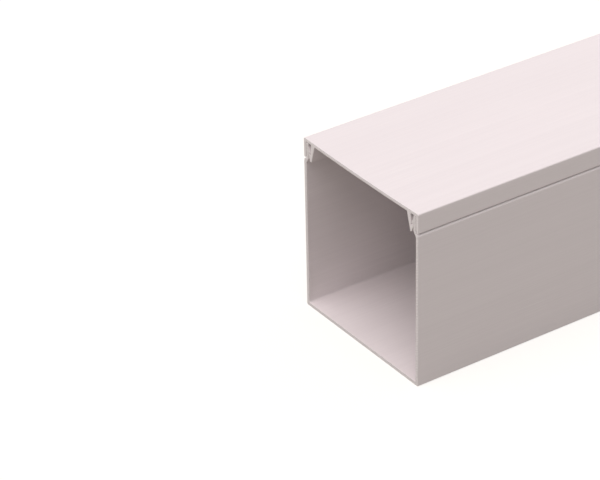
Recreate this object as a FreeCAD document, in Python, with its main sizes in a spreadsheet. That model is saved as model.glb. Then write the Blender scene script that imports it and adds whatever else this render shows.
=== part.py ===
import FreeCAD, Part
import math
import os
import Sketcher

# Square cable trunking in rigid vinyl: an open base channel and the lid that clips on it.
# Both are extruded, so each has one section, drawn across X and Z, and runs along Y.
# The origin lies on the underside of the base, midway across and midway along.

SIZES = [
    ("duct_width", 100.0, "overall width over the outer faces"),
    ("duct_height", 103.0, "overall height, lid on"),
    ("stock_length", 2000.0, "length of one stick"),
    ("wall_thickness", 2.0, "side walls of the base"),
    ("floor_thickness", 2.0, "back of the base"),
    ("foot_radius", 0.8, "rounding of the lower outer edges"),
    ("floor_radius", 1.0, "rounding inside, between floor and walls"),
    ("shoulder_radius", 1.5, "rounding of the shoulder's outer edge"),
    ("upstand_thickness", 2.0, "upstand that carries the hook"),
    ("upstand_radius", 0.5, "rounding on top of the upstand"),
    ("neck_rise", 0.8, "neck's upper end above the shoulder"),
    ("neck_drop", 3.0, "height over which the neck slants back to the wall"),
    ("neck_radius", 1.2, "rounding at both ends of the neck"),
    ("hook_start", 1.8, "plain stretch above the hook"),
    ("hook_slope", 3.0, "height of the hook's lead-in slope"),
    ("hook_nose", 0.5, "height of the hook's blunt nose"),
    ("hook_reach", 1.75, "reach of the hook from the upstand"),
    ("hook_radius", 0.2, "rounding of the hook's nose"),
    ("lid_thickness", 1.8, "plate of the lid"),
    ("lid_dish", 0.6, "depth by which the plate is dished midway across"),
    ("lid_radius", 0.8, "rounding of the lid's long edges"),
    ("skirt_thickness", 1.8, "skirts of the lid"),
    ("skirt_depth", 11.4, "depth of the skirts from the lid's top"),
    ("skirt_taper", 0.5, "amount that the skirt thins at its foot"),
    ("taper_height", 2.0, "height over which the skirt thins"),
    ("skirt_radius", 0.3, "rounding of the skirt's foot"),
    ("leg_thickness", 1.9, "clip leg, measured across at the hook's underside"),
    ("leg_lean", 16.0, "lean of the leg's inner face in degrees, outwards at its foot"),
    ("leg_taper", 12.0, "angle between the leg's faces in degrees, so that its root is the thickest"),
    ("leg_radius", 0.5, "rounding at the leg's root and tip"),
    ("barb_thickness", 0.9, "free end of the barb"),
    ("barb_face", 1.3, "upright face of the barb"),
    ("barb_height", 4.6, "barb's top to the tip of the leg"),
    ("barb_notch", 1.0, "depth of the notch between barb and leg"),
    ("barb_radius", 0.2, "rounding of the barb's end and notch"),
    ("tip_width", 1.0, "blunt tip of the leg"),
    ("seam_gap", 0.6, "open joint between skirt and shoulder"),
    ("side_play", 0.3, "between skirt and upstand"),
    ("top_play", 0.3, "between upstand and lid plate"),
    ("leg_play", 0.3, "between the hook's nose and the leg"),
    ("barb_play", 0.2, "between the barb and the upstand"),
    ("catch_play", 0.3, "between the barb's end and the hook's underside"),
]

# Two points nearer to each other than this, in millimetres, are the same corner.
SAME_SPOT = 1e-4

# Each of the two roundings of a blunt nose or tip takes at most this share of its width.
BLUNT_SHARE = 0.45

# The lid's plate is dished: both its faces are arcs of this radius, lowest midway across.
DISH_RADIUS = "((sizes.duct_width ^ 2 / 4 + sizes.lid_dish ^ 2) / (2 * sizes.lid_dish))"


def plate_underside_at(inset):
    """Level of the plate's underside: from the middle it rises with the square of the way out."""
    way_out = f"(1 - 2 * ({inset}) / sizes.duct_width)"
    return f"(sizes.duct_height - sizes.lid_thickness - sizes.lid_dish * (1 - {way_out} ^ 2))"


# Insets from the outer face of the duct.
UPSTAND_OUTER = "(sizes.skirt_thickness + sizes.side_play)"
UPSTAND_INNER = f"({UPSTAND_OUTER} + sizes.upstand_thickness)"
HOOK_NOSE = f"({UPSTAND_INNER} + sizes.hook_reach)"
LEG_AT_CATCH = f"({HOOK_NOSE} + sizes.leg_play)"
BARB_OUTER = f"({UPSTAND_INNER} + sizes.barb_play)"

# Levels up from the underside.
SHOULDER = "(sizes.duct_height - sizes.skirt_depth - sizes.seam_gap)"
SKIRT_FOOT = "(sizes.duct_height - sizes.skirt_depth)"
UPSTAND_TOP = f"({plate_underside_at(UPSTAND_INNER)} - sizes.top_play)"
HOOK_TOP = f"({UPSTAND_TOP} - sizes.hook_start)"
NOSE_TOP = f"({HOOK_TOP} - sizes.hook_slope)"
CATCH = f"({NOSE_TOP} - sizes.hook_nose)"
NECK_TOP = f"({SHOULDER} + sizes.neck_rise)"
NECK_FOOT = f"({NECK_TOP} - sizes.neck_drop)"
BARB_TOP = f"({CATCH} - sizes.catch_play)"
BARB_BEND = f"({BARB_TOP} - sizes.barb_face)"
NOTCH_FOOT = f"({BARB_TOP} - sizes.barb_notch)"
LEG_TIP = f"({BARB_TOP} - sizes.barb_height)"

LEG_OUTER_SLOPE = "tan((sizes.leg_lean - sizes.leg_taper) * 1 deg)"
LEG_INNER_SLOPE = "tan(sizes.leg_lean * 1 deg)"


def leg_outer_face(level):
    """Inset of the leg's outer face at a level: the leg leans out as it goes down."""
    return f"({LEG_AT_CATCH} + ({level} - {CATCH}) * {LEG_OUTER_SLOPE})"


def leg_inner_face(level):
    return f"({LEG_AT_CATCH} + sizes.leg_thickness + ({level} - {CATCH}) * {LEG_INNER_SLOPE})"


def root_of(leg_face):
    """Corner where a face of the leg meets the dished underside of the plate."""
    flat_level = "(sizes.duct_height - sizes.lid_thickness)"
    level = plate_underside_at(leg_face(flat_level))
    return (leg_face(level), level)


# Each corner is (inset from the outer face, level), from the outside of the duct inwards.
FOOT_EDGE = ("0", "0")
SHOULDER_EDGE = ("0", SHOULDER)
LEDGE_CORNER = (UPSTAND_OUTER, SHOULDER)
UPSTAND_OUTER_EDGE = (UPSTAND_OUTER, UPSTAND_TOP)
UPSTAND_INNER_EDGE = (UPSTAND_INNER, UPSTAND_TOP)
HOOK_ROOT = (UPSTAND_INNER, HOOK_TOP)
NOSE_UPPER_EDGE = (HOOK_NOSE, NOSE_TOP)
NOSE_LOWER_EDGE = (HOOK_NOSE, CATCH)
CATCH_CORNER = (UPSTAND_INNER, CATCH)
NECK_UPPER_BEND = (UPSTAND_INNER, NECK_TOP)
NECK_LOWER_BEND = ("sizes.wall_thickness", NECK_FOOT)
FLOOR_CORNER = ("sizes.wall_thickness", "sizes.floor_thickness")

LID_EDGE = ("0", "sizes.duct_height")
SKIRT_OUTER_EDGE = ("0", SKIRT_FOOT)
SKIRT_INNER_EDGE = ("sizes.skirt_thickness - sizes.skirt_taper", SKIRT_FOOT)
SKIRT_TAPER_START = ("sizes.skirt_thickness", f"{SKIRT_FOOT} + sizes.taper_height")
SKIRT_ROOT = ("sizes.skirt_thickness", plate_underside_at("sizes.skirt_thickness"))
LEG_OUTER_ROOT = root_of(leg_outer_face)
NOTCH_CORNER = (leg_outer_face(NOTCH_FOOT), NOTCH_FOOT)
BARB_INNER_EDGE = (f"{BARB_OUTER} + sizes.barb_thickness", BARB_TOP)
BARB_OUTER_EDGE = (BARB_OUTER, BARB_TOP)
BARB_LOWER_BEND = (BARB_OUTER, BARB_BEND)
TIP_OUTER_EDGE = (f"{leg_inner_face(LEG_TIP)} - sizes.tip_width", LEG_TIP)
TIP_INNER_EDGE = (leg_inner_face(LEG_TIP), LEG_TIP)
LEG_INNER_ROOT = root_of(leg_inner_face)

BASE_CORNERS = [
    FOOT_EDGE, SHOULDER_EDGE, LEDGE_CORNER, UPSTAND_OUTER_EDGE, UPSTAND_INNER_EDGE, HOOK_ROOT,
    NOSE_UPPER_EDGE, NOSE_LOWER_EDGE, CATCH_CORNER, NECK_UPPER_BEND, NECK_LOWER_BEND, FLOOR_CORNER,
]
LID_CORNERS = [
    LID_EDGE, SKIRT_OUTER_EDGE, SKIRT_INNER_EDGE, SKIRT_TAPER_START, SKIRT_ROOT, LEG_OUTER_ROOT,
    NOTCH_CORNER, BARB_INNER_EDGE, BARB_OUTER_EDGE, BARB_LOWER_BEND, TIP_OUTER_EDGE, TIP_INNER_EDGE,
    LEG_INNER_ROOT,
]


def make_sheet(doc):
    sheet = doc.addObject("Spreadsheet::Sheet", "sizes")
    for row, (name, value, meaning) in enumerate(SIZES, start=1):
        sheet.set(f"A{row}", meaning)
        sheet.set(f"B{row}", str(value))
        sheet.setAlias(f"B{row}", name)
    doc.recompute()
    return sheet


def half_width_at(inset):
    return f"sizes.duct_width / 2 - ({inset})"


def attach_to_section_plane(sketch, body):
    for feature in body.Origin.OriginFeatures:
        if feature.Role == "XZ_Plane":
            sketch.AttachmentSupport = [(feature, "")]
            sketch.MapMode = "FlatFace"


def draw_outline(sketch, corners, crossing_radius):
    """A closed outline through the corners on the right and their mirror images on the left.

    Its two stretches across the middle are straight, or arcs where there is a crossing radius.
    """
    right = [
        FreeCAD.Vector(sketch.evalExpression(half_width_at(inset)), sketch.evalExpression(level), 0)
        for inset, level in corners
    ]
    left = [FreeCAD.Vector(-point.x, point.y, 0) for point in reversed(right)]
    loop = right + left
    lines = []
    for index, point in enumerate(loop):
        following = loop[(index + 1) % len(loop)]
        if crossing_radius and index % len(right) == len(right) - 1:
            stretch = dipping_arc(point, following, sketch.evalExpression(crossing_radius))
        else:
            stretch = Part.LineSegment(point, following)
        lines.append(sketch.addGeometry(stretch, False))
    for index, point in enumerate(loop):
        arriving, leaving = end_at(sketch, lines[index - 1], point), end_at(sketch, lines[index], point)
        sketch.addConstraint(Sketcher.Constraint("Coincident", *arriving, *leaving))
    for index, (inset, level) in enumerate(corners):
        corner = end_at(sketch, lines[index], right[index])
        pin_corner(sketch, corner, right[index], half_width_at(inset), level)
        twin_index = len(loop) - 1 - index
        twin = end_at(sketch, lines[twin_index], loop[twin_index])
        sketch.addConstraint(Sketcher.Constraint("Symmetric", *corner, *twin, -2))
    if crossing_radius:
        inner_arc, outer_arc = lines[len(right) - 1], lines[-1]
        value = sketch.evalExpression(crossing_radius)
        number = sketch.addConstraint(Sketcher.Constraint("Radius", outer_arc, value))
        sketch.setExpression(f"Constraints[{number}]", crossing_radius)
        sketch.addConstraint(Sketcher.Constraint("Equal", outer_arc, inner_arc))


def dipping_arc(point, twin, radius):
    """An arc between a corner and its mirror image, lowest midway between them."""
    drop = radius - math.sqrt(radius ** 2 - point.x ** 2)
    return Part.Arc(point, FreeCAD.Vector(0, point.y - drop, 0), twin)


def end_at(sketch, line, point):
    """The number of a line or arc, with 1 or 2 for the end of it that lies at the point."""
    at_start = sketch.getPoint(line, 1).distanceToPoint(point) < SAME_SPOT
    return (line, 1 if at_start else 2)


def pin_corner(sketch, corner, point, across, level):
    """Ties a corner to the origin by one dimension across and one up."""
    for kind, value, formula in (("DistanceX", point.x, across), ("DistanceY", point.y, level)):
        number = sketch.addConstraint(Sketcher.Constraint(kind, -1, 1, *corner, value))
        sketch.setExpression(f"Constraints[{number}]", formula)


def extrude_section(doc, name, corners, crossing_radius=None):
    body = doc.addObject("PartDesign::Body", name)
    body.Label = name
    sketch = body.newObject("Sketcher::SketchObject", name + "_section")
    attach_to_section_plane(sketch, body)
    draw_outline(sketch, corners, crossing_radius)
    pad = body.newObject("PartDesign::Pad", name + "_extrusion")
    pad.Profile = sketch
    pad.SideType = "Symmetric"
    pad.setExpression("Length", "sizes.stock_length")
    sketch.Visibility = False
    doc.recompute()
    return body


def long_edges_at(feature, sheet, corners):
    """Names of the edges that run along Y through the given corners, on both sides."""
    spots = [
        (sheet.evalExpression(half_width_at(inset)), sheet.evalExpression(level))
        for inset, level in corners
    ]
    names = []
    for number, edge in enumerate(feature.Shape.Edges, start=1):
        first, last = edge.Vertexes[0].Point, edge.Vertexes[-1].Point
        if abs(first.x - last.x) > SAME_SPOT or abs(first.z - last.z) > SAME_SPOT:
            continue
        for across, level in spots:
            if abs(abs(first.x) - across) < SAME_SPOT and abs(first.z - level) < SAME_SPOT:
                names.append(f"Edge{number}")
    return names


def round_edges(doc, body, sheet, name, corners, radius):
    carrier = body.Tip
    edges = long_edges_at(carrier, sheet, corners)
    if len(edges) != 2 * len(corners):
        raise ValueError(f"{name}: {len(edges)} edges found for {len(corners)} corners a side")
    fillet = body.newObject("PartDesign::Fillet", name)
    fillet.Base = (carrier, edges)
    fillet.setExpression("Radius", radius)
    doc.recompute()


def make_base_channel(doc, sheet):
    """U channel whose walls step in at a shoulder to upstands with an inward hook."""
    body = extrude_section(doc, "base_channel", BASE_CORNERS)
    round_edges(doc, body, sheet, "foot_rounding", [FOOT_EDGE], "sizes.foot_radius")
    round_edges(doc, body, sheet, "floor_rounding", [FLOOR_CORNER], "sizes.floor_radius")
    round_edges(doc, body, sheet, "shoulder_rounding", [SHOULDER_EDGE], "sizes.shoulder_radius")
    round_edges(doc, body, sheet, "neck_rounding", [NECK_UPPER_BEND, NECK_LOWER_BEND], "sizes.neck_radius")
    round_edges(
        doc, body, sheet, "upstand_rounding", [UPSTAND_OUTER_EDGE, UPSTAND_INNER_EDGE],
        "sizes.upstand_radius",
    )
    round_edges(
        doc, body, sheet, "hook_rounding", [NOSE_UPPER_EDGE, NOSE_LOWER_EDGE, CATCH_CORNER],
        f"min(sizes.hook_radius; sizes.hook_nose * {BLUNT_SHARE})",
    )
    return body


def make_clip_lid(doc, sheet):
    """Slightly dished lid with skirts flush with the base, and legs whose barbs catch the hooks."""
    body = extrude_section(doc, "clip_lid", LID_CORNERS, DISH_RADIUS)
    round_edges(doc, body, sheet, "lid_rounding", [LID_EDGE], "sizes.lid_radius")
    round_edges(
        doc, body, sheet, "skirt_rounding", [SKIRT_OUTER_EDGE, SKIRT_INNER_EDGE],
        "sizes.skirt_radius",
    )
    round_edges(
        doc, body, sheet, "leg_root_rounding", [LEG_OUTER_ROOT, LEG_INNER_ROOT], "sizes.leg_radius"
    )
    round_edges(
        doc, body, sheet, "tip_rounding", [TIP_OUTER_EDGE, TIP_INNER_EDGE],
        f"min(sizes.leg_radius; sizes.tip_width * {BLUNT_SHARE})",
    )
    round_edges(
        doc, body, sheet, "barb_rounding", [BARB_INNER_EDGE, BARB_OUTER_EDGE, NOTCH_CORNER],
        "sizes.barb_radius",
    )
    return body


def check(doc, bodies):
    for thing in doc.Objects:
        for word in ("Invalid", "Error"):
            if word in thing.State:
                raise ValueError(f"{thing.Name} is {thing.State}")
    for body in bodies:
        if body.Shape.isNull() or not body.Shape.isValid():
            raise ValueError(f"{body.Label} has no valid shape")


def write(bodies):
    os.makedirs("parts", exist_ok=True)
    for body in bodies:
        body.Shape.exportStep(os.path.join("parts", body.Label + ".step"))
        box = body.Shape.BoundBox
        print(body.Label, "volume", round(body.Shape.Volume), "mm3, height", box.ZMin, box.ZMax)


def main():
    doc = FreeCAD.newDocument("cable_trunking")
    sheet = make_sheet(doc)
    bodies = [make_base_channel(doc, sheet), make_clip_lid(doc, sheet)]
    doc.recompute()
    check(doc, bodies)
    write(bodies)


main()
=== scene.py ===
import math

import bpy
from mathutils import Matrix, Vector


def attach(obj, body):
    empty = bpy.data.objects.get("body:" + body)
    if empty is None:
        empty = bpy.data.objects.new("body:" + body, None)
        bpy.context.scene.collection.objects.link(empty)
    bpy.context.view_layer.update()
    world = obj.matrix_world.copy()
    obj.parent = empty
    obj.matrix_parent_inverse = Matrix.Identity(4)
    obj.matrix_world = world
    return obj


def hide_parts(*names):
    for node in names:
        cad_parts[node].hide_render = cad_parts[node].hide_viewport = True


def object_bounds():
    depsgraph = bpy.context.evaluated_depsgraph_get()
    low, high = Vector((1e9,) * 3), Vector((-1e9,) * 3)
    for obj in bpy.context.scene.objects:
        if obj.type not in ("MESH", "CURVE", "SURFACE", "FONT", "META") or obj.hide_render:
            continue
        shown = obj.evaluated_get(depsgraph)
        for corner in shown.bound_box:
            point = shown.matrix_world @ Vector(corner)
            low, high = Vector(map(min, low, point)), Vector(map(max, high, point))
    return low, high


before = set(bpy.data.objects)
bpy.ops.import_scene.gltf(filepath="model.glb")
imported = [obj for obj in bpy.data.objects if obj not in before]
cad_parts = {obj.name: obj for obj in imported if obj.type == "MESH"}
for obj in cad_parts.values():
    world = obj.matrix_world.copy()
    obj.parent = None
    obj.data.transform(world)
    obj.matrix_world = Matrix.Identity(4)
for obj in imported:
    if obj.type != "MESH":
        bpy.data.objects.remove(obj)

cad_low, cad_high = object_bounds()


# Base channel
# An open U of rigid white vinyl, pushed through a die in one piece and sawn to length.
# Its side walls step in at a shoulder to thinner upstands, and each upstand has a hook on
# its inner side, under which a leg of the lid catches.

# Sizes are in millimetres. An inset is a depth inwards from the outer face of the wall.
mm = 0.001
stick_end = cad_high.y / mm
outer_face = cad_high.x / mm

# The lid's plate and skirts, which set where the shoulder and the upstands lie.
lid_edge = 103.0
lid_dish = 0.6
lid_thickness = 1.8
skirt_thickness = 1.8
skirt_depth = 11.4

# The open joint under the skirt, and the play beside and above the upstand.
seam_gap = 0.6
side_play = 0.3
top_play = 0.3

# The channel's walls, with the neck that slants from the upstand back to the wall.
wall_thickness = 2.0
floor_thickness = 2.0
upstand_thickness = 2.0
neck_rise = 0.8
neck_drop = 3.0

# The hook, from the top of the upstand down: a plain stretch, a slope and a blunt nose.
hook_start = 1.8
hook_slope = 3.0
nose_height = 0.5
hook_reach = 1.75

foot_radius = 0.8
floor_radius = 1.0
shoulder_radius = 1.5
upstand_radius = 0.5
hook_radius = 0.2
neck_radius = 1.2


def plate_level(inset, depth):
    """Level on the lid's plate at a depth in it. The plate is dished, lowest midway across."""
    return lid_edge - depth - lid_dish * (1 - (1 - inset / outer_face) ** 2)


# The levels and insets that follow from the sizes. The catch is the hook's underside.
skirt_foot = lid_edge - skirt_depth
shoulder = skirt_foot - seam_gap
upstand_outer = skirt_thickness + side_play
upstand_inner = upstand_outer + upstand_thickness
upstand_top = plate_level(upstand_inner, lid_thickness) - top_play
hook_top = upstand_top - hook_start
hook_tip = upstand_inner + hook_reach
nose_top = hook_top - hook_slope
catch = nose_top - nose_height
neck_top = shoulder + neck_rise
neck_foot = neck_top - neck_drop

# Inset from the outer face, level and rounding of each corner, from the middle of the
# underside round the outside of the wall to the middle of the floor.
channel_corners = [
    (outer_face, 0, 0),
    (0, 0, foot_radius),
    (0, shoulder, shoulder_radius),
    (upstand_outer, shoulder, 0),
    (upstand_outer, upstand_top, upstand_radius),
    (upstand_inner, upstand_top, upstand_radius),
    (upstand_inner, hook_top, 0),
    (hook_tip, nose_top, hook_radius),
    (hook_tip, catch, hook_radius),
    (upstand_inner, catch, hook_radius),
    (upstand_inner, neck_top, neck_radius),
    (wall_thickness, neck_foot, neck_radius),
    (wall_thickness, floor_thickness, floor_radius),
    (outer_face, floor_thickness, 0),
]

# Points of the outline that lie closer than this are the same corner.
same_spot = 0.01
rounding_steps = 6


def place_of(corner):
    """Where a corner of the section lies, at the near end of the stick."""
    inset, level = corner[:2]
    return Vector((mm * (outer_face - inset), -mm * stick_end, mm * level))


def draw_half_section(name, corners):
    """Draws half of the die's opening with straight edges, from corner to corner."""
    bpy.ops.object.select_all(action="DESELECT")
    bpy.ops.mesh.primitive_plane_add(size=mm)
    piece = bpy.context.object
    piece.name = name
    piece.data.name = name
    # The plane is merged to one point, and the outline is drawn out from that.
    bpy.ops.object.mode_set(mode="EDIT")
    bpy.ops.mesh.select_mode(type="VERT")
    bpy.ops.mesh.select_all(action="SELECT")
    bpy.ops.mesh.merge(type="CENTER")
    bpy.ops.transform.translate(value=place_of(corners[0]))
    for before, after in zip(corners, corners[1:]):
        step = place_of(after) - place_of(before)
        bpy.ops.mesh.extrude_region_move(TRANSFORM_OT_translate={"value": step})
    bpy.ops.object.mode_set(mode="OBJECT")
    return piece


def pick_corner(piece, spot):
    """Goes into edit mode with only the corner at that spot selected."""
    bpy.ops.object.mode_set(mode="EDIT")
    bpy.ops.mesh.select_mode(type="VERT")
    bpy.ops.mesh.select_all(action="DESELECT")
    bpy.ops.object.mode_set(mode="OBJECT")
    for vertex in piece.data.vertices:
        vertex.select = (vertex.co - spot).length < mm * same_spot
    bpy.ops.object.mode_set(mode="EDIT")


def round_corners(piece, corners):
    """Rounds each corner by its own radius, as the corners of the die are."""
    for before, corner, after in zip(corners, corners[1:], corners[2:]):
        radius = corner[2]
        if radius == 0:
            continue
        arriving = place_of(corner) - place_of(before)
        leaving = place_of(after) - place_of(corner)
        reach = mm * radius * math.tan(arriving.angle(leaving) / 2)
        pick_corner(piece, place_of(corner))
        bpy.ops.mesh.bevel(affect="VERTICES", offset=reach, segments=rounding_steps, profile=0.5)
        bpy.ops.object.mode_set(mode="OBJECT")


def run_through_die(piece):
    """Mirrors the half section, fills it and draws it out to the length of the stick."""
    mirror = piece.modifiers.new("other_half", "MIRROR")
    mirror.merge_threshold = mm * same_spot
    bpy.ops.object.modifier_apply(modifier=mirror.name)
    bpy.ops.object.mode_set(mode="EDIT")
    bpy.ops.mesh.select_all(action="SELECT")
    bpy.ops.mesh.edge_face_add()
    length = (0, 2 * mm * stick_end, 0)
    bpy.ops.mesh.extrude_region_move(TRANSFORM_OT_translate={"value": length})
    bpy.ops.mesh.select_all(action="SELECT")
    bpy.ops.mesh.normals_make_consistent(inside=False)
    bpy.ops.object.mode_set(mode="OBJECT")


# The saw leaves a narrow broken edge round each end. A face is part of an end when its
# normal points along the stick by more than the share in end_facing.
sawn_edge = 0.12
sawn_edge_steps = 4
end_facing = 0.9
smooth_below = math.radians(25)


def break_sawn_edges(piece):
    """Takes the sharpness off the edges round both sawn ends, then sets the shading."""
    bpy.ops.object.mode_set(mode="EDIT")
    bpy.ops.mesh.select_all(action="DESELECT")
    bpy.ops.mesh.select_mode(type="FACE")
    bpy.ops.object.mode_set(mode="OBJECT")
    for face in piece.data.polygons:
        face.select = abs(face.normal.y) > end_facing
    bpy.ops.object.mode_set(mode="EDIT")
    bpy.ops.mesh.select_mode(type="EDGE")
    bpy.ops.mesh.bevel(
        affect="EDGES", offset=mm * sawn_edge, segments=sawn_edge_steps, profile=0.5
    )
    bpy.ops.object.mode_set(mode="OBJECT")
    bpy.ops.object.shade_smooth_by_angle(angle=smooth_below)
    flats = piece.modifiers.new("flats_stay_flat", "WEIGHTED_NORMAL")
    flats.keep_sharp = True
    bpy.ops.object.modifier_apply(modifier=flats.name)


channel = draw_half_section("channel_extrusion", channel_corners)
round_corners(channel, channel_corners)
run_through_die(channel)
break_sawn_edges(channel)


class Finish:
    """One socket of a material. Arithmetic on it adds the Math nodes."""

    def __init__(self, tree, socket=None):
        self.tree = tree
        self.socket = socket

    def add(self, kind, settings, inputs, output=0):
        """Adds one node: its type, its settings, then the values or links of its sockets."""
        node = self.tree.nodes.new(kind)
        for name, setting in settings.items():
            setattr(node, name, setting)
        for name, value in inputs.items():
            if isinstance(value, Finish):
                self.tree.links.new(value.socket, node.inputs[name])
            else:
                node.inputs[name].default_value = value
        return Finish(self.tree, node.outputs[output])

    def maths(self, operation, *values):
        return self.add("ShaderNodeMath", {"operation": operation}, dict(enumerate(values)))

    def __add__(self, other):
        return self.maths("ADD", self, other)

    def __radd__(self, other):
        return self.maths("ADD", other, self)

    def __sub__(self, other):
        return self.maths("SUBTRACT", self, other)

    def __rsub__(self, other):
        return self.maths("SUBTRACT", other, self)

    def __mul__(self, other):
        return self.maths("MULTIPLY", self, other)

    def __rmul__(self, other):
        return self.maths("MULTIPLY", other, self)

    def __gt__(self, other):
        return self.maths("GREATER_THAN", self, other)

    def __lt__(self, other):
        return self.maths("LESS_THAN", self, other)

    def __abs__(self):
        return self.maths("ABSOLUTE", self)

    def root(self):
        return self.maths("SQRT", self)

    def larger(self, other):
        return self.maths("MAXIMUM", self, other)

    def ramp(self, low, high):
        """Goes from 0 to 1, smoothly, as the value goes from low to high."""
        settings = {"interpolation_type": "SMOOTHSTEP"}
        return self.add("ShaderNodeMapRange", settings, {"Value": self, 1: low, 2: high})

    def blend(self, colour_at_0, colour_at_1):
        """A colour between two others, with this value as the share of the second."""
        inputs = {0: self, 6: colour_at_0, 7: colour_at_1}
        return self.add("ShaderNodeMix", {"data_type": "RGBA"}, inputs, 2)

    def axis(self, name):
        return self.add("ShaderNodeSeparateXYZ", {}, {0: self}, name)

    def stretched(self, scale, shift):
        """The same place with each axis scaled and shifted, to draw a pattern out."""
        return self.add("ShaderNodeMapping", {}, {0: self, "Scale": scale, "Location": shift})

    def grain(self, per_metre, detail):
        """A soft random pattern, from 0 to 1, read at this place. detail is how fine it goes."""
        inputs = {"Vector": self, "Scale": per_metre, "Detail": detail}
        return self.add("ShaderNodeTexNoise", {}, inputs)

    def rings(self, per_metre, detail):
        """The same along one value, so that a distance from a centre gives rings round it."""
        inputs = {"W": self, "Scale": per_metre, "Detail": detail}
        return self.add("ShaderNodeTexNoise", {"noise_dimensions": "1D"}, inputs)


def rigid_vinyl(name, batch, blade, cut_tone_and_painted_light):
    """White vinyl as it leaves the die: satin skin, faint die lines, sawn ends.

    batch shifts the patterns, so that two pieces differ. blade is the centre of the saw
    blade, across and up, that cut the ends of this piece. cut_tone_and_painted_light scales how
    bright the sawn ends are painted; above 1 it is painted light, a brighter cut face standing in
    for light that the edge catches from above.
    """
    material = bpy.data.materials.new(name)
    material.use_nodes = True
    tree = material.node_tree
    shader = tree.nodes["Principled BSDF"]
    start = Finish(tree)
    place = start.add("ShaderNodeTexCoord", {}, {}, "Object")

    # The skin ends midway round the broken edge, and the sawn face begins.
    facing = start.add("ShaderNodeTexCoord", {}, {}, "Normal")
    midway_round_edge = 0.7
    sawn = abs(facing.axis("Y")) > midway_round_edge

    # Everything that the die and the handling leave is drawn out along the stick.
    die_lines = place.stretched((1, 0.0002, 1), (batch, 0, 0)).grain(1100, 4).ramp(0.3, 0.7)
    flow_bands = place.stretched((1, 0.001, 1), (0, 0, batch)).grain(150, 2).ramp(0.3, 0.7)
    mottle = place.stretched((1, 0.5, 1), (batch, batch, 0)).grain(26, 3).ramp(0.3, 0.7)
    rubbed = place.stretched((1, 0.3, 1), (0, batch, batch)).grain(34, 4).ramp(0.42, 0.62)
    scratches = place.stretched((1, 0.005, 1), (batch, batch, batch)).grain(4200, 1).ramp(0.6, 0.7)
    scuffs = scratches * rubbed

    # The teeth leave arcs round the blade's centre, and tear the cut face a little.
    x_offset = place.axis("X") - mm * blade[0]
    z_offset = place.axis("Z") - mm * blade[1]
    blade_reach = (x_offset * x_offset + z_offset * z_offset).root()
    tooth_marks = blade_reach.rings(1600, 2)
    torn_grain = place.grain(5200, 3)

    skin = (0.812, 0.758, 0.761, 1)
    skin_pale = (0.850, 0.796, 0.798, 1)
    scuffed = (0.90, 0.86, 0.85, 1)
    # The sawn colours are scaled per piece; where the scale is above 1, the extra brightness is
    # painted light.
    sawn_dull = (0.80 * cut_tone_and_painted_light, 0.765 * cut_tone_and_painted_light, 0.755 * cut_tone_and_painted_light, 1)
    sawn_white = (0.90 * cut_tone_and_painted_light, 0.865 * cut_tone_and_painted_light, 0.855 * cut_tone_and_painted_light, 1)
    skin_tone = mottle * 0.2 + flow_bands * 0.3 + die_lines * 0.5
    skin_colour = (scuffs * 0.7).blend(skin_tone.blend(skin, skin_pale), scuffed)
    sawn_tone = (tooth_marks * 0.7 + torn_grain * 0.3).ramp(0.38, 0.62)
    sawn_colour = sawn_tone.blend(sawn_dull, sawn_white)
    colour = sawn.blend(skin_colour, sawn_colour)

    skin_gloss = 0.32 + mottle * 0.06 + die_lines * 0.12 + rubbed * 0.05 + scuffs * 0.2
    sawn_gloss = 0.55 + torn_grain * 0.2
    roughness = skin_gloss * (1 - sawn) + sawn_gloss * sawn

    # Heights of the relief are in millimetres too.
    skin_relief = die_lines * 0.012 + flow_bands * 0.03 - scuffs * 0.01
    sawn_relief = tooth_marks * 0.03 + torn_grain * 0.015
    relief = skin_relief * (1 - sawn) + sawn_relief * sawn
    bump = start.add("ShaderNodeBump", {}, {"Strength": 1.0, "Distance": mm, "Height": relief})

    shader.inputs["IOR"].default_value = 1.53
    tree.links.new(colour.socket, shader.inputs["Base Color"])
    tree.links.new(roughness.socket, shader.inputs["Roughness"])
    tree.links.new(bump.socket, shader.inputs["Normal"])
    return material


channel_vinyl = rigid_vinyl("channel_vinyl", batch=0.0, blade=(-35, 205), cut_tone_and_painted_light=0.97)
channel.data.materials.append(channel_vinyl)
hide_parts("base_channel")
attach(channel, "root")


# Clip-on lid
# A plate of the same rigid vinyl, a little dished as it cooled, with two skirts that stand
# flush with the channel's walls, and two leaning legs. Pressed on by hand, the legs spring
# past the hooks and the barbs catch under them.

# The skirt thins on its inner side towards the foot.
skirt_taper = 0.5
taper_height = 2.0

# The leg's inner face leans by leg_lean in degrees, and its outer face by leg_taper less.
# Its thickness is measured across, at the level of the hook's underside.
leg_thickness = 1.9
leg_lean = 16
leg_taper = 12
tip_width = 1.0

# The barb, with a notch between its free end and the leg.
barb_height = 4.6
barb_thickness = 0.9
barb_face = 1.3
barb_notch = 1.0

# The play between the leg and the hook's nose, between the barb and the upstand, and
# between the barb's end and the hook's underside.
leg_play = 0.3
barb_play = 0.2
catch_play = 0.3

lid_radius = 0.8
skirt_radius = 0.3
leg_radius = 0.5
tip_radius = 0.45
barb_radius = 0.2
plate_steps = 8

barb_top = catch - catch_play
barb_outer = upstand_inner + barb_play
notch_foot = barb_top - barb_notch
leg_tip = barb_top - barb_height
leg_at_catch = hook_tip + leg_play


def leg_outer(level):
    """Inset of the leg's outer face at a level, as the leg leans out towards its tip."""
    return leg_at_catch + (level - catch) * math.tan(math.radians(leg_lean - leg_taper))


def leg_inner(level):
    """Inset of the leg's inner face, which leans more, so that the root is the thickest."""
    return leg_at_catch + leg_thickness + (level - catch) * math.tan(math.radians(leg_lean))


def leg_root(leg_face):
    """Inset and level where a face of the leg meets the dished underside of the plate."""
    level = plate_level(leg_face(lid_edge - lid_thickness), lid_thickness)
    return leg_face(level), level


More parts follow.
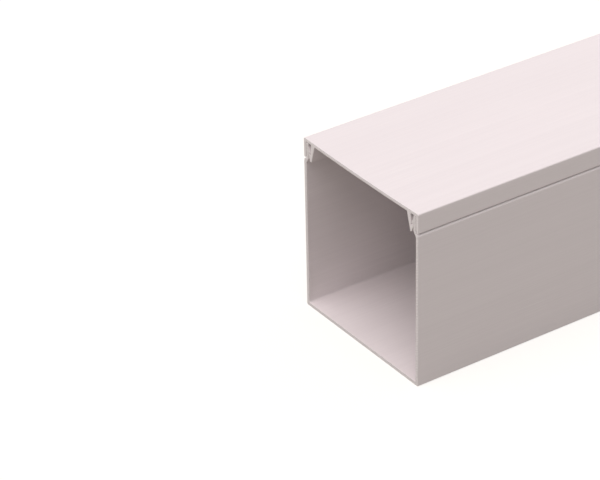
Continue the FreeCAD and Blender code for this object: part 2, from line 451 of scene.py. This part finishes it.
def along_plate(first, last, depth):
    """Corners along a dished face of the plate, from one inset to another."""
    insets = [first + (last - first) * step / plate_steps for step in range(plate_steps + 1)]
    return [(inset, plate_level(inset, depth), 0) for inset in insets]


outer_root = leg_root(leg_outer)
inner_root = leg_root(leg_inner)

# The lid's corners run from the middle of its top round the skirt and the leg to the
# middle of the plate's underside.
lid_corners = [
    *along_plate(outer_face, 0, 0)[:-1],
    (0, lid_edge, lid_radius),
    (0, skirt_foot, skirt_radius),
    (skirt_thickness - skirt_taper, skirt_foot, skirt_radius),
    (skirt_thickness, skirt_foot + taper_height, 0),
    (skirt_thickness, plate_level(skirt_thickness, lid_thickness), 0),
    (*outer_root, leg_radius),
    (leg_outer(notch_foot), notch_foot, barb_radius),
    (barb_outer + barb_thickness, barb_top, barb_radius),
    (barb_outer, barb_top, barb_radius),
    (barb_outer, barb_top - barb_face, 0),
    (leg_inner(leg_tip) - tip_width, leg_tip, tip_radius),
    (leg_inner(leg_tip), leg_tip, tip_radius),
    (*inner_root, leg_radius),
    *along_plate(inner_root[0], outer_face, lid_thickness)[1:],
]
lid = draw_half_section("lid_extrusion", lid_corners)
round_corners(lid, lid_corners)
run_through_die(lid)
break_sawn_edges(lid)

# The lid's sawn ends are painted brighter than the channel's: painted light, for light that the
# plate's cut edge catches from above.
lid_vinyl = rigid_vinyl("lid_vinyl", batch=3.7, blade=(40, 190), cut_tone_and_painted_light=1.06)
lid.data.materials.append(lid_vinyl)
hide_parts("clip_lid")
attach(lid, "root")


# Floor and light
# A pale studio floor and soft light from high in front, as in a catalogue picture. The
# floor and the room look white to the camera, and the floor keeps the trunking's shadow.

# The floor is wide, in metres, for cameras that stand far off, and lies just under the stick.
floor_width = 120
floor_gap = 0.02
bpy.ops.object.select_all(action="DESELECT")
bpy.ops.mesh.primitive_plane_add(size=floor_width)
ground = bpy.context.object
ground.name = "studio_floor"
ground.data.name = "studio_floor"
bpy.ops.object.mode_set(mode="EDIT")
bpy.ops.transform.translate(value=(0, 0, cad_low.z - mm * floor_gap))
bpy.ops.object.mode_set(mode="OBJECT")

white = (1, 1, 1, 1)
black = (0, 0, 0, 1)
room_grey = (0.39, 0.39, 0.39, 1)


def seen_directly(tree):
    """1 for rays of the camera and for mirrored or passed ones, and 0 for light that spreads."""
    start = Finish(tree)
    camera_ray = start.add("ShaderNodeLightPath", {}, {}, "Is Camera Ray")
    mirrored_ray = start.add("ShaderNodeLightPath", {}, {}, "Is Glossy Ray")
    passed_ray = start.add("ShaderNodeLightPath", {}, {}, "Is Transmission Ray")
    return camera_ray.larger(mirrored_ray).larger(passed_ray)


paint = bpy.data.materials.new("pale_floor")
paint.use_nodes = True
paint_shader = paint.node_tree.nodes["Principled BSDF"]
paint_shader.inputs["Base Color"].default_value = (0.345, 0.324, 0.287, 1)
paint_shader.inputs["Roughness"].default_value = 0.9
paint_shader.inputs["Specular IOR Level"].default_value = 0.0
paint_shader.inputs["Emission Strength"].default_value = 0.72
floor_glow = seen_directly(paint.node_tree).blend(black, white)
paint.node_tree.links.new(floor_glow.socket, paint_shader.inputs["Emission Color"])
ground.data.materials.append(paint)

room = bpy.data.worlds.new("studio_room")
room.use_nodes = True
bpy.context.scene.world = room
room_light = room.node_tree.nodes["Background"]
room_tone = seen_directly(room.node_tree).blend(room_grey, white)
room.node_tree.links.new(room_tone.socket, room_light.inputs["Color"])

key_from = Vector((0.08, -0.34, 0.94))
bpy.ops.object.light_add(type="SUN", location=key_from)
key = bpy.context.object
key.name = "overhead_softbox"
key.rotation_euler = key_from.to_track_quat("Z", "Y").to_euler()
key.data.energy = 2.25
key.data.color = (1.0, 0.92, 0.93)
key.data.angle = math.radians(60)


# Camera
# A long lens, high on the right of the near end, so that the lid, the right wall and the
# sawn end all show. It is rolled a little, as the picture is.

bpy.ops.object.camera_add()
camera = bpy.context.object
camera.name = "catalogue_camera"
camera.data.sensor_width = 36
camera.data.lens = 172.58
camera.data.clip_end = 200
bpy.context.scene.camera = camera
azimuth = math.radians(55.969)
elevation = math.radians(30.897)
roll = math.radians(-1.284)
level_part = math.cos(elevation)
backwards = Vector((
    math.sin(azimuth) * level_part,
    -math.cos(azimuth) * level_part,
    math.sin(elevation),
))
turn = (-backwards).to_track_quat("-Z", "Y").to_matrix() @ Matrix.Rotation(roll, 3, "Z")

# The right wall's near foot, and where the camera sees it in metres: to the right, upwards
# and backwards.
near_foot = Vector((cad_high.x, cad_low.y, cad_low.z))
near_foot_from_camera = Vector((0.06083, -0.07582, -1.48465))
camera.location = near_foot - turn @ near_foot_from_camera
camera.rotation_euler = turn.to_euler()

bpy.context.scene.view_settings.view_transform = "Standard"
